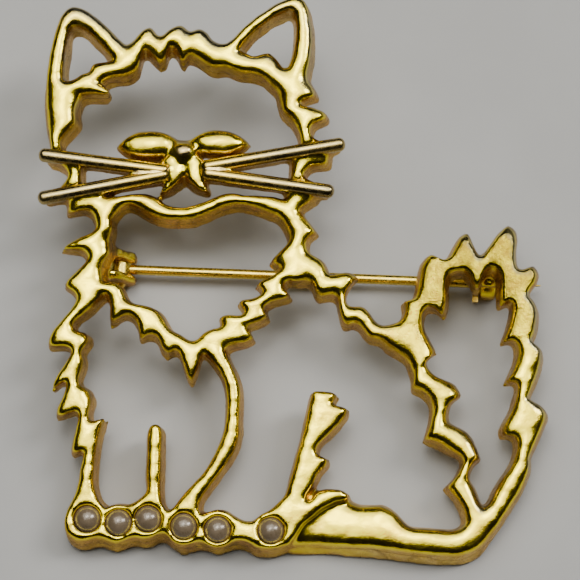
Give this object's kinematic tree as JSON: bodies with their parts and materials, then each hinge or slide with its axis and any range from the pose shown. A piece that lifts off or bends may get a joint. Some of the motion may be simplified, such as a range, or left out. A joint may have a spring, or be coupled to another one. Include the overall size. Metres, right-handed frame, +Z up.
{
  "type": "figural animal brooch",
  "caption": "Gold-tone openwork brooch in the outline of a seated cat, with pearls in the paws, raised whiskers and a pin with a turning safety catch.",
  "frame": {"origin": "on the table, under the middle of the brooch's outline as it lies face up", "axes": "+X towards the tail, to the viewer's right; +Y towards the ears; +Z up, out of the front"},
  "size_m": [0.0458, 0.0514, 0.0112],
  "materials": {
    "cast_gold_tone": "polished yellow gold-tone plate, satin in places",
    "finding_gold_tone": "bright gold-tone plate",
    "wire_gold_tone": "bright gold-tone plate",
    "pearl": "soft pearl lustre, grey-beige"
  },
  "bodies": {
    "brooch": {"cat_frame": "cast_gold_tone", "pearl_1": "pearl", "pearl_2": "pearl", "pearl_3": "pearl", "pearl_4": "pearl", "pearl_5": "pearl", "pearl_6": "pearl", "hinge_rivet": "finding_gold_tone"},
    "pin": {"pin_stem": "wire_gold_tone"},
    "collar": {"catch_collar": "finding_gold_tone"}
  },
  "joints": [
    {"name": "pin_swing", "type": "hinge", "parent": "brooch", "child": "pin", "pos_m": [-0.01586, 0.00191, 0.0017], "axis": [0.0454, 0.9862, 0.1591], "range_deg": [0, 75]},
    {"name": "catch_turn", "type": "hinge", "parent": "brooch", "child": "collar", "pos_m": [0.0178, 0.0004, 0.00145], "axis": [-0.999, 0.0448, 0.0072], "range_deg": [0, 150]}
  ]
}
